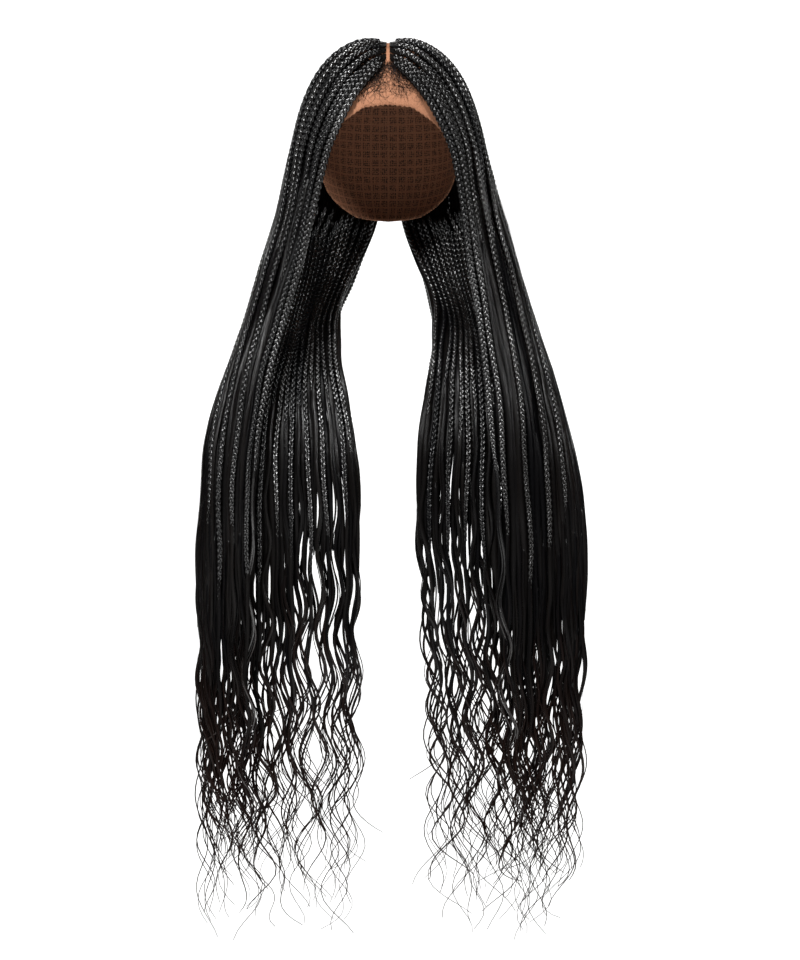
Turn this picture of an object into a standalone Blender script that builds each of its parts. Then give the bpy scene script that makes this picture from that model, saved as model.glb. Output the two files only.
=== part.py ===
"""Long braid wig: a lace cap, a lace front and falls of braids with waved ends, parted in the middle.

Metres, +Z up, the face opening looks along -Y. The origin is the inside of the cap's crown, where a head bears.
Sizes below are in millimetres; MM turns them into metres where a mesh is made.
"""

import math
from collections import namedtuple

import bmesh
import bpy
import numpy as np

MM = 0.001

# Head form that the cap is shaped on: half axes, the roundness of its sections, and its middle below the crown
HEAD_HALF_WIDTH = 76.0
HEAD_HALF_DEPTH = 95.0
HEAD_HALF_HEIGHT = 100.0
HEAD_ROUNDNESS = 2.4

# Lace wall, and the clearance between pieces
LACE = 1.2
GAP = 0.4
CAP_COLUMNS = 48
CAP_ROWS = 6
FRONT_COLUMNS = 22
FRONT_ROWS = 3
EAR_AZIMUTH = 82.5

# Edges of the lace, as angles down from the crown, against the angle round from the face
Rim = namedtuple("Rim", "azimuth seam edge")
RIM = (
    Rim(azimuth=0, seam=33, edge=77),
    Rim(azimuth=15, seam=38, edge=78.5),
    Rim(azimuth=30, seam=55, edge=87),
    Rim(azimuth=45, seam=74, edge=97),
    Rim(azimuth=60, seam=89, edge=106),
    Rim(azimuth=75, seam=102, edge=116.5),
    Rim(azimuth=82.5, seam=103, edge=113),
    Rim(azimuth=97.5, seam=100, edge=100),
    Rim(azimuth=120, seam=124, edge=124),
    Rim(azimuth=150, seam=137, edge=137),
    Rim(azimuth=180, seam=140, edge=140),
)

# The parting, from the hairline over the crown to the whorl, as angles forward (-) or back (+) of the crown
PARTING_FRONT = -45.0
PARTING_MIDDLE = 10.0
PARTING_WHORL = 52.0
PARTING_HALF_WIDTH = 2.3

# Where the hair leaves the head: its height, and the directions round from the face
LEAVING_HEIGHT = -120.0
FACE_AZIMUTH = {"left": 39.5, "right": 44.0}
SIDE_AZIMUTH = 105.0
NAPE_AZIMUTH = 178.5
DOME_STEPS = 8

# Hair thickness at the parting, where it leaves the head, and hanging, and how much of it the furrows between
# locks take away
HAIR_AT_PARTING = 6.5
HAIR_LEAVING = 14.0
HAIR_HANGING = 16.0
HAIR_CLEARANCE = 1.0
FURROW_SHARE = 0.45
INNER_FULLNESS = 0.7

# A row for each level of a hanging fall, with three places across it: its first lock, its middle, its last lock.
# z is their height, left and right how far out they hang on that side, and y how far back
Level = namedtuple("Level", "z left right y")

FRONT_LEVELS = (
    Level(z=(-180, -180, -180), left=(79, 105, 115), right=(80, 106, 119), y=(-77, -48, 12)),
    Level(z=(-240, -240, -240), left=(94, 121, 131), right=(89, 121, 134), y=(-82, -61, -7)),
    Level(z=(-300, -300, -300), left=(113, 137, 147), right=(101, 134, 151), y=(-88, -79, -39)),
    Level(z=(-360, -360, -360), left=(130, 154, 166), right=(109, 147, 168), y=(-99, -97, -70)),
    Level(z=(-420, -420, -420), left=(140, 164, 182), right=(114, 155, 183), y=(-108, -109, -91)),
    Level(z=(-480, -480, -480), left=(143, 168, 187), right=(119, 160, 193), y=(-112, -113, -99)),
    Level(z=(-560, -560, -560), left=(143, 169, 191), right=(120, 163, 199), y=(-108, -109, -97)),
    Level(z=(-750, -750, -750), left=(142, 169, 191), right=(120, 161, 197), y=(-104, -105, -95)),
    Level(z=(-940, -940, -940), left=(138, 165, 186), right=(118, 157, 190), y=(-102, -103, -94)),
)
BACK_LEVELS = (
    Level(z=(-180, -185, -185), left=(105, 75, 15), right=(105, 75, 15), y=(21, 77, 99)),
    Level(z=(-235, -240, -235), left=(111, 84, 36), right=(111, 84, 36), y=(-6, 52, 75)),
    Level(z=(-285, -295, -280), left=(121, 96, 51), right=(121, 96, 48), y=(-34, 4, 27)),
    Level(z=(-325, -335, -318), left=(133, 99, 51), right=(133, 98, 45), y=(-57, -40, -24)),
    Level(z=(-370, -375, -360), left=(145, 102, 45), right=(145, 100, 40), y=(-68, -68, -66)),
    Level(z=(-425, -425, -420), left=(156, 103, 33), right=(156, 102, 32), y=(-75, -83, -91)),
    Level(z=(-480, -480, -480), left=(163, 103, 27), right=(164, 102, 26), y=(-79, -88, -97)),
    Level(z=(-560, -560, -560), left=(166, 102, 25), right=(168, 104, 29), y=(-77, -84, -91)),
    Level(z=(-750, -750, -750), left=(166, 102, 24), right=(168, 110, 41), y=(-74, -80, -85)),
    Level(z=(-940, -940, -940), left=(162, 102, 28), right=(164, 110, 42), y=(-72, -78, -83)),
)

# The locks part below this level, and each waves down to its own ragged tip
PARTING_OF_LOCKS = -560.0
FRONT_LOCKS = 7
BACK_LOCKS = 10
HANGING_RINGS = 10
WAVE_LENGTH = 96.0
WAVE_STEP = 24.0
WAVE_SIDEWAYS = 7.0
WAVE_DEPTH = 3.5
NEIGHBOUR_PHASE = 0.25
LOCK_WIDTH_SHARE = 0.86
LOCK_HALF_DEPTH = 6.5
TIP_SHARE = 0.2
TIP_HEIGHTS = (-905, -860, -925, -880, -835, -935, -870, -915, -850, -895)

# The single braids that frame the face
FACE_BRAID_RADIUS = 3.2
FACE_BRAID_OFFSET = 4.6
FACE_BRAID_POINTS = 34
FACE_BRAID_END = -900.0

SIDES = {"left": -1.0, "right": 1.0}


def clear_scene():
    for old in list(bpy.data.objects):
        bpy.data.objects.remove(old)


def material(name, colour, roughness):
    made = bpy.data.materials.new(name)
    made.use_nodes = True
    shader = made.node_tree.nodes["Principled BSDF"]
    shader.inputs["Base Color"].default_value = (*colour, 1.0)
    shader.inputs["Roughness"].default_value = roughness
    shader.inputs["Metallic"].default_value = 0.0
    return made


def link(name, data, surface, collection):
    made = bpy.data.objects.new(name, data)
    data.materials.append(surface)
    collection.objects.link(made)
    return made


def direction(azimuth, polar):
    """Unit vector at this many degrees round from the face, and down from the crown."""
    round_from_face = np.radians(azimuth)
    down = np.radians(polar)
    return np.stack(
        [np.sin(down) * np.sin(round_from_face), -np.sin(down) * np.cos(round_from_face), np.cos(down)],
        axis=-1,
    )


def head_point(toward, offset):
    """Where a ray from the head's middle leaves the head form, grown by offset on each half axis."""
    halves = np.array([HEAD_HALF_WIDTH, HEAD_HALF_DEPTH, HEAD_HALF_HEIGHT])
    halves = halves + np.asarray(offset)[..., None]
    reach = (np.abs(toward / halves) ** HEAD_ROUNDNESS).sum(axis=-1) ** (-1.0 / HEAD_ROUNDNESS)
    return toward * reach[..., None] - np.array([0.0, 0.0, HEAD_HALF_HEIGHT])


def rim_angle(azimuth, column):
    """Angle down from the crown of the lace's seam or edge, at this angle round from the face."""
    return float(np.interp(abs(azimuth), [row.azimuth for row in RIM], [getattr(row, column) for row in RIM]))


def add_wall(made):
    """Gives an open lace surface its thickness, outwards."""
    wall = made.modifiers.new("lace wall", "SOLIDIFY")
    wall.thickness = LACE * MM
    wall.offset = 1.0
    wall.use_even_offset = True


def make_crown_cap(surface, collection):
    """A dome from the upper half of a sphere, each meridian stretched or shortened to end on the seam."""
    shell = bmesh.new()
    bmesh.ops.create_uvsphere(shell, u_segments=CAP_COLUMNS, v_segments=2 * CAP_ROWS, radius=1.0)
    below = [vertex for vertex in shell.verts if vertex.co.z < -0.001]
    bmesh.ops.delete(shell, geom=below, context="VERTS")
    for vertex in shell.verts:
        azimuth = math.degrees(math.atan2(vertex.co.x, -vertex.co.y))
        share = math.degrees(math.acos(min(1.0, vertex.co.z))) / 90.0
        toward = direction(azimuth, share * rim_angle(azimuth, "seam"))
        vertex.co = head_point(toward, 0.0) * MM
    mesh = bpy.data.meshes.new("crown_cap")
    shell.to_mesh(mesh)
    shell.free()
    mesh.shade_smooth()
    add_wall(link("crown_cap", mesh, surface, collection))


def make_lace_front(surface, collection):
    """A flat grid laid on the head form between the cap's seam and the hairline edge, ear to ear."""
    panel = bmesh.new()
    bmesh.ops.create_grid(panel, x_segments=FRONT_COLUMNS, y_segments=FRONT_ROWS, size=1.0)
    seam_gap = math.degrees(GAP / HEAD_HALF_HEIGHT)
    for vertex in panel.verts:
        azimuth = vertex.co.x * EAR_AZIMUTH
        seam = rim_angle(azimuth, "seam") + seam_gap
        edge = rim_angle(azimuth, "edge")
        share = (1.0 - vertex.co.y) / 2.0
        vertex.co = head_point(direction(azimuth, seam + share * (edge - seam)), 0.0) * MM
    mesh = bpy.data.meshes.new("lace_front")
    panel.to_mesh(mesh)
    panel.free()
    mesh.shade_smooth()
    add_wall(link("lace_front", mesh, surface, collection))


def slerp(first, last, share):
    """Great-circle way between unit vectors, for an array of shares."""
    angle = np.arccos(np.clip((first * last).sum(axis=-1), -1.0, 1.0))[..., None]
    share = np.asarray(share)[..., None]
    return (np.sin((1.0 - share) * angle) * first + np.sin(share * angle) * last) / np.sin(angle)


def smooth_through(points, wanted):
    """Catmull-Rom curve through points, rows of an array, at these fractional row numbers."""
    row = np.clip(np.floor(wanted).astype(int), 0, len(points) - 2)
    past = (wanted - row).reshape(-1, *[1] * (points.ndim - 1))
    padded = np.concatenate([2 * points[:1] - points[1:2], points, 2 * points[-1:] - points[-2:-1]])
    before, here, after, beyond = (padded[row + step] for step in range(4))
    return here + 0.5 * past * (
        after - before
        + past * (2 * before - 5 * here + 4 * after - beyond + past * (3 * (here - after) + beyond - before))
    )


class Fall:
    """The middle surface of one fall of hair: across from 0 to 1 is its first lock to its last."""

    def __init__(self, side_name, levels, parting, leaving, leaving_offset, locks):
        self.side_name = side_name
        self.side = SIDES[side_name]
        self.levels = levels
        self.parting = parting
        self.leaving = leaving
        self.leaving_offset = leaving_offset
        self.locks = locks

    def dome_stations(self, across):
        """Rings of points on the head, from the parting to where the hair leaves it."""
        lean = np.radians(self.parting[0] + across * (self.parting[1] - self.parting[0]))
        aside = np.full_like(lean, PARTING_HALF_WIDTH / HEAD_HALF_HEIGHT)
        root = np.stack([aside, np.sin(lean), np.cos(lean)], axis=-1)
        root /= np.linalg.norm(root, axis=-1, keepdims=True)
        azimuth = self.leaving[0] + across * (self.leaving[1] - self.leaving[0])
        polar = 90.0 + math.degrees(math.atan2(-LEAVING_HEIGHT - HEAD_HALF_HEIGHT, HEAD_HALF_DEPTH))
        last = direction(azimuth, np.full_like(azimuth, polar))
        offset = np.interp(across, (0.0, 0.5, 1.0), self.leaving_offset)
        base = LACE + HAIR_CLEARANCE + HAIR_AT_PARTING / 2.0
        rings = []
        for step in range(DOME_STEPS):
            share = step / (DOME_STEPS - 1)
            toward = slerp(root, last, np.full_like(across, share))
            rings.append(head_point(toward, base + (offset - base) * share**2.2))
        return np.array(rings)

    def hanging_stations(self, across):
        """Rings of points below the head: a parabola through each level's three places."""
        share = across[:, None]
        rings = []
        for level in self.levels:
            outwards = getattr(level, self.side_name)
            first, middle, last = (np.array(place, float) for place in zip(outwards, level.y, level.z))
            rings.append(
                first * (1 - share) * (1 - 2 * share)
                + middle * 4 * share * (1 - share)
                + last * share * (2 * share - 1)
            )
        return np.array(rings)

    def stations(self, across):
        points = np.concatenate([self.dome_stations(across), self.hanging_stations(across)])
        return points * (self.side, 1.0, 1.0)

    def at_heights(self, across, heights):
        """Rings of the hanging part at these mean heights."""
        points = self.stations(across)[DOME_STEPS - 1 :]
        mean_heights = points[:, :, 2].mean(axis=1)
        wanted = np.interp(-np.asarray(heights, float), -mean_heights, np.arange(len(points)))
        return smooth_through(points, wanted)

    def rings(self, across):
        """Rings from the parting down to where the locks part, and the hair's thickness at each."""
        heights = np.linspace(LEAVING_HEIGHT, PARTING_OF_LOCKS, HANGING_RINGS + 1)[1:]
        dome = self.stations(across)[:DOME_STEPS]
        hanging = self.at_heights(across, heights)
        dome_thickness = np.linspace(HAIR_AT_PARTING, HAIR_LEAVING, DOME_STEPS)
        hanging_thickness = np.linspace(HAIR_LEAVING, HAIR_HANGING, HANGING_RINGS + 1)[1:]
        return np.concatenate([dome, hanging]), np.concatenate([dome_thickness, hanging_thickness])

    def surface_normals(self, points):
        """Unit normals of a grid of points, pointing off the head where the grid lies on it."""
        normals = np.cross(np.gradient(points, axis=0), np.gradient(points, axis=1)) * self.side
        return normals / np.linalg.norm(normals, axis=-1, keepdims=True)

    def waved_lock(self, lock):
        """Centres, sideways vectors, normals and half sizes of one loose lock, from its parting to its tip."""
        turn = 3 * lock + self.locks + (0 if self.side > 0 else 4)
        tip = TIP_HEIGHTS[turn % len(TIP_HEIGHTS)]
        steps = int(round((PARTING_OF_LOCKS - tip) / WAVE_STEP))
        heights = np.linspace(PARTING_OF_LOCKS, tip, steps + 1)
        share = np.linspace(0.0, 1.0, steps + 1)
        borders = self.at_heights(np.array([lock, lock + 0.5, lock + 1.0]) / self.locks, heights)
        sideways = borders[:, 2] - borders[:, 0]
        full_width = np.linalg.norm(sideways, axis=1, keepdims=True)
        sideways /= full_width
        normals = np.cross(sideways, (0.0, 0.0, 1.0)) * self.side
        phase = 2 * math.pi * (heights / WAVE_LENGTH) + NEIGHBOUR_PHASE * lock
        swing = np.minimum(1.0, 1.8 * share)[:, None]
        centres = borders[:, 1] + sideways * WAVE_SIDEWAYS * swing * np.sin(phase)[:, None]
        centres = centres + normals * WAVE_DEPTH * swing * np.cos(phase)[:, None]
        thinning = 1.0 - (1.0 - TIP_SHARE) * share**1.3
        half_width = full_width[0, 0] / 2.0 * LOCK_WIDTH_SHARE * thinning
        half_depth = LOCK_HALF_DEPTH * thinning
        return centres, sideways, normals, half_width, half_depth


def make_fall(name, fall, surface, collection):
    """One solid: a ribbed sheet of locks from the parting down, which parts into waved locks with free tips.

    A ring of the sheet has an outer row of borders and crests, and an inner row of borders. Below the parting
    of the locks each lock goes on as a ring of five: border, crest, border outside, and two borders inside."""
    across = np.linspace(0.0, 1.0, 2 * fall.locks + 1)
    middle, thickness = fall.rings(across)
    normals = fall.surface_normals(middle)
    fullness = np.where(np.arange(len(across)) % 2 == 1, 1.0, 1.0 - FURROW_SHARE)
    half = thickness[:, None, None] / 2.0
    outer_points = middle + normals * half * fullness[None, :, None]
    inner_points = (middle - normals * half * INNER_FULLNESS)[:, ::2]

    shape = bmesh.new()
    outer = [[shape.verts.new(point * MM) for point in ring] for ring in outer_points]
    inner = [[shape.verts.new(point * MM) for point in ring] for ring in inner_points]
    last = 2 * fall.locks

    for ring in range(len(middle) - 1):
        upper, lower = outer[ring], outer[ring + 1]
        for column in range(last):
            shape.faces.new((upper[column], upper[column + 1], lower[column + 1], lower[column]))
        above, below = inner[ring], inner[ring + 1]
        for column in range(fall.locks):
            shape.faces.new((above[column + 1], above[column], below[column], below[column + 1]))
        shape.faces.new((above[0], upper[0], lower[0], below[0]))
        shape.faces.new((upper[last], above[fall.locks], below[fall.locks], lower[last]))

    corners = ((-1.0, 0.55), (0.0, 1.0), (1.0, 0.55), (1.0, -0.7), (-1.0, -0.7))
    for lock in range(fall.locks):
        first, second = (
            [outer[ring][2 * lock + step] for step in range(3)] + [inner[ring][lock + 1], inner[ring][lock]]
            for ring in (0, -1)
        )
        shape.faces.new(first[::-1])
        upper = second
        centres, sideways, outwards, half_width, half_depth = fall.waved_lock(lock)
        for step in range(1, len(centres)):
            lower = []
            for wide, deep in corners:
                place = centres[step] + sideways[step] * wide * half_width[step]
                place = place + outwards[step] * deep * half_depth[step]
                lower.append(shape.verts.new(place * MM))
            for corner in range(5):
                following = (corner + 1) % 5
                shape.faces.new((upper[corner], upper[following], lower[following], lower[corner]))
            upper = lower
        shape.faces.new(upper)

    bmesh.ops.recalc_face_normals(shape, faces=shape.faces)
    mesh = bpy.data.meshes.new(name)
    shape.to_mesh(mesh)
    shape.free()
    mesh.shade_smooth()
    link(name, mesh, surface, collection)


def make_face_braid(name, fall, surface, collection):
    """A round braid beside the front fall's first lock, from the hairline down, waved below the locks' parting."""
    edge = np.array([0.0, 0.03])
    heights = np.linspace(LEAVING_HEIGHT, FACE_BRAID_END, FACE_BRAID_POINTS)
    hanging = fall.at_heights(edge, heights[1:])
    points = np.concatenate([fall.stations(edge)[:DOME_STEPS], hanging])
    inwards = points[:, 0] - points[:, 1]
    inwards /= np.linalg.norm(inwards, axis=1, keepdims=True)
    route = points[:, 0] + inwards * FACE_BRAID_OFFSET
    route[0] = (route[0] + route[1]) / 2.0
    loose = np.clip((PARTING_OF_LOCKS - route[:, 2]) / (PARTING_OF_LOCKS - FACE_BRAID_END), 0.0, 1.0)
    phase = 2 * math.pi * (PARTING_OF_LOCKS - route[:, 2]) / WAVE_LENGTH
    route[:, 0] -= fall.side * 2.0 * WAVE_SIDEWAYS * np.minimum(1.0, 1.8 * loose) * np.sin(phase / 2.0) ** 2

    curve = bpy.data.curves.new(name, "CURVE")
    curve.dimensions = "3D"
    curve.bevel_depth = FACE_BRAID_RADIUS * MM
    curve.bevel_resolution = 2
    curve.use_fill_caps = True
    spline = curve.splines.new("POLY")
    spline.points.add(len(route) - 1)
    for point, place, ease in zip(spline.points, route, loose):
        point.co = (*(place * MM), 1.0)
        point.radius = 1.0 - (1.0 - TIP_SHARE) * ease
    link(name, curve, surface, collection)


def main():
    clear_scene()
    wig = bpy.data.collections.new("braid_wig")
    bpy.context.scene.collection.children.link(wig)
    lace = material("tinted_lace", (0.35, 0.20, 0.12), 0.8)
    hair = material("black_hair", (0.012, 0.011, 0.011), 0.42)
    make_crown_cap(lace, wig)
    make_lace_front(lace, wig)
    for side_name in SIDES:
        front = Fall(
            side_name,
            FRONT_LEVELS,
            parting=(PARTING_FRONT, PARTING_MIDDLE),
            leaving=(FACE_AZIMUTH[side_name], SIDE_AZIMUTH - 0.4),
            leaving_offset=(10.5, 24.0, 26.0),
            locks=FRONT_LOCKS,
        )
        back = Fall(
            side_name,
            BACK_LEVELS,
            parting=(PARTING_MIDDLE + 0.8, PARTING_WHORL),
            leaving=(SIDE_AZIMUTH + 0.4, NAPE_AZIMUTH),
            leaving_offset=(26.0, 20.0, 13.0),
            locks=BACK_LOCKS,
        )
        make_fall("front_fall_" + side_name, front, hair, wig)
        make_fall("back_fall_" + side_name, back, hair, wig)
        make_face_braid("face_braid_" + side_name, front, hair, wig)


main()
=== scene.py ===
"""Braid wig: the finished look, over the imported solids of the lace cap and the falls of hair.

Sizes are in millimetres unless a name says otherwise, and MM turns them into metres where a mesh is made.
Every lock, plait and hair is one profile carried along a path that lies on a fall's middle surface.
"""

import math
from collections import namedtuple

import bpy
import numpy as np
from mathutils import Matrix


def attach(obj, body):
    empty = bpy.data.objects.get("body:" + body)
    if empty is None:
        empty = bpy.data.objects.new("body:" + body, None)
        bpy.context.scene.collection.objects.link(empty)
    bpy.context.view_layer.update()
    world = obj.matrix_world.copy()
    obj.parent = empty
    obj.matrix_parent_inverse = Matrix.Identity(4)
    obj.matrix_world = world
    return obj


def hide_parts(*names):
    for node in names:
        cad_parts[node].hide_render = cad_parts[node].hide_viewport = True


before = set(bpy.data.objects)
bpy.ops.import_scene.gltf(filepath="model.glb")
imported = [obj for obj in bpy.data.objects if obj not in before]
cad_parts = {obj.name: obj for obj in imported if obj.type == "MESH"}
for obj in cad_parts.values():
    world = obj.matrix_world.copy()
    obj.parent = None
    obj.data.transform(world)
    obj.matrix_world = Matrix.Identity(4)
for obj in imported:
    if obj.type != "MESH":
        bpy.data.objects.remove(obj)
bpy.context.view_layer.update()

bl_info = {
    "name": "Braid wig",
    "version": (1, 0, 0),
    "blender": (4, 5, 0),
    "location": "3D View > Sidebar > Braid wig",
    "description": "Builds the plaits, loose locks and lace of a long braided wig",
    "category": "Object",
}

MM = 0.001
TWO_PI = 2.0 * math.pi

# Head form, lace and falls, as the solids have them
HEAD_HALVES = np.array([76.0, 95.0, 100.0])
HEAD_ROUNDNESS = 2.4
LACE = 1.2
EAR_AZIMUTH = 82.5
Rim = namedtuple("Rim", "azimuth seam edge")
RIM = (
    Rim(azimuth=0, seam=33, edge=77),
    Rim(azimuth=15, seam=38, edge=78.5),
    Rim(azimuth=30, seam=55, edge=87),
    Rim(azimuth=45, seam=74, edge=97),
    Rim(azimuth=60, seam=89, edge=106),
    Rim(azimuth=75, seam=102, edge=116.5),
    Rim(azimuth=82.5, seam=103, edge=113),
    Rim(azimuth=97.5, seam=100, edge=100),
    Rim(azimuth=120, seam=124, edge=124),
    Rim(azimuth=150, seam=137, edge=137),
    Rim(azimuth=180, seam=140, edge=140),
)
PARTING_HALF_WIDTH = 2.3
LEAVING_HEIGHT = -120.0
LOWEST_STATION = -940.0
HAIR_AT_PARTING = 6.5
HAIR_LEAVING = 14.0
HAIR_HANGING = 16.0
HAIR_CLEARANCE = 1.0
Level = namedtuple("Level", "z left right y")
FRONT_LEVELS = (
    Level(z=(-180, -180, -180), left=(79, 105, 115), right=(80, 106, 119), y=(-77, -48, 12)),
    Level(z=(-240, -240, -240), left=(94, 121, 131), right=(89, 121, 134), y=(-82, -61, -7)),
    Level(z=(-300, -300, -300), left=(113, 137, 147), right=(101, 134, 151), y=(-88, -79, -39)),
    Level(z=(-360, -360, -360), left=(130, 154, 166), right=(109, 147, 168), y=(-99, -97, -70)),
    Level(z=(-420, -420, -420), left=(140, 164, 182), right=(114, 155, 183), y=(-108, -109, -91)),
    Level(z=(-480, -480, -480), left=(143, 168, 187), right=(119, 160, 193), y=(-112, -113, -99)),
    Level(z=(-560, -560, -560), left=(143, 169, 191), right=(120, 163, 199), y=(-108, -109, -97)),
    Level(z=(-750, -750, -750), left=(142, 169, 191), right=(120, 161, 197), y=(-104, -105, -95)),
    Level(z=(-940, -940, -940), left=(138, 165, 186), right=(118, 157, 190), y=(-102, -103, -94)),
)
BACK_LEVELS = (
    Level(z=(-180, -185, -185), left=(105, 75, 15), right=(105, 75, 15), y=(21, 77, 99)),
    Level(z=(-235, -240, -235), left=(111, 84, 36), right=(111, 84, 36), y=(-6, 52, 75)),
    Level(z=(-285, -295, -280), left=(121, 96, 51), right=(121, 96, 48), y=(-34, 4, 27)),
    Level(z=(-325, -335, -318), left=(133, 99, 51), right=(133, 98, 45), y=(-57, -40, -24)),
    Level(z=(-370, -375, -360), left=(145, 102, 45), right=(145, 100, 40), y=(-68, -68, -66)),
    Level(z=(-425, -425, -420), left=(156, 103, 33), right=(156, 102, 32), y=(-75, -83, -91)),
    Level(z=(-480, -480, -480), left=(163, 103, 27), right=(164, 102, 26), y=(-79, -88, -97)),
    Level(z=(-560, -560, -560), left=(166, 102, 25), right=(168, 104, 29), y=(-77, -84, -91)),
    Level(z=(-750, -750, -750), left=(166, 102, 24), right=(168, 110, 41), y=(-74, -80, -85)),
    Level(z=(-940, -940, -940), left=(162, 102, 28), right=(164, 110, 42), y=(-72, -78, -83)),
)
SIDES = {"left": -1.0, "right": 1.0}
FallPlan = namedtuple("FallPlan", "levels parting leaving offsets")
FALL_PLANS = {
    ("front", "left"): FallPlan(FRONT_LEVELS, (-45.0, 10.0), (39.5, 104.6), (10.5, 24.0, 26.0)),
    ("front", "right"): FallPlan(FRONT_LEVELS, (-45.0, 10.0), (44.0, 104.6), (10.5, 24.0, 26.0)),
    ("back", "left"): FallPlan(BACK_LEVELS, (10.8, 52.0), (105.4, 178.5), (26.0, 20.0, 13.0)),
    ("back", "right"): FallPlan(BACK_LEVELS, (10.8, 52.0), (105.4, 178.5), (26.0, 20.0, 13.0)),
}
FACE_PLAIT_OFFSET = 4.6

# Resolution of a fall's middle surface
SHEET_COLUMNS = 33
DOME_ROWS = 48
HANGING_ROW_STEP = 4.0
SMOOTHING_PASSES = 10


def linear(hex_colour):
    """sRGB hex to linear RGBA."""
    channels = [int(hex_colour[place : place + 2], 16) / 255.0 for place in (1, 3, 5)]
    return (*(c / 12.92 if c <= 0.04045 else ((c + 0.055) / 1.055) ** 2.4 for c in channels), 1.0)


def direction(azimuth, polar):
    """Unit vector at these degrees round from the face and down from the crown."""
    round_from_face, down = np.radians(azimuth), np.radians(polar)
    return np.stack(
        [np.sin(down) * np.sin(round_from_face), -np.sin(down) * np.cos(round_from_face), np.cos(down)],
        axis=-1,
    )


def head_point(toward, offset):
    """Superellipsoid: the ray's length is the sum of |component / half axis| to the roundness, to -1 / roundness."""
    halves = HEAD_HALVES + np.asarray(offset)[..., None]
    reach = (np.abs(toward / halves) ** HEAD_ROUNDNESS).sum(axis=-1) ** (-1.0 / HEAD_ROUNDNESS)
    return toward * reach[..., None] - np.array([0.0, 0.0, HEAD_HALVES[2]])


def rim_angle(azimuth, column):
    """Angle down from the crown of the lace's seam or edge, at these angles round from the face."""
    return np.interp(np.abs(azimuth), [row.azimuth for row in RIM], [getattr(row, column) for row in RIM])


def unit(vectors):
    return vectors / np.maximum(np.linalg.norm(vectors, axis=-1, keepdims=True), 1e-9)


def slerp(first, last, share):
    """Great-circle way between unit vectors: each is weighted by the sine of its share of the angle."""
    angle = np.arccos(np.clip((first * last).sum(axis=-1), -1.0, 1.0))[..., None]
    share = np.asarray(share)[..., None]
    return (np.sin((1.0 - share) * angle) * first + np.sin(share * angle) * last) / np.sin(angle)


def smooth_through(points, wanted):
    """Catmull-Rom cubic through the rows of points, at these fractional row numbers."""
    row = np.clip(np.floor(wanted).astype(int), 0, len(points) - 2)
    past = (wanted - row).reshape(-1, *[1] * (points.ndim - 1))
    padded = np.concatenate([2 * points[:1] - points[1:2], points, 2 * points[-1:] - points[-2:-1]])
    before, here, after, beyond = (padded[row + step] for step in range(4))
    return here + 0.5 * past * (
        after - before
        + past * (2 * before - 5 * here + 4 * after - beyond + past * (3 * (here - after) + beyond - before))
    )


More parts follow.
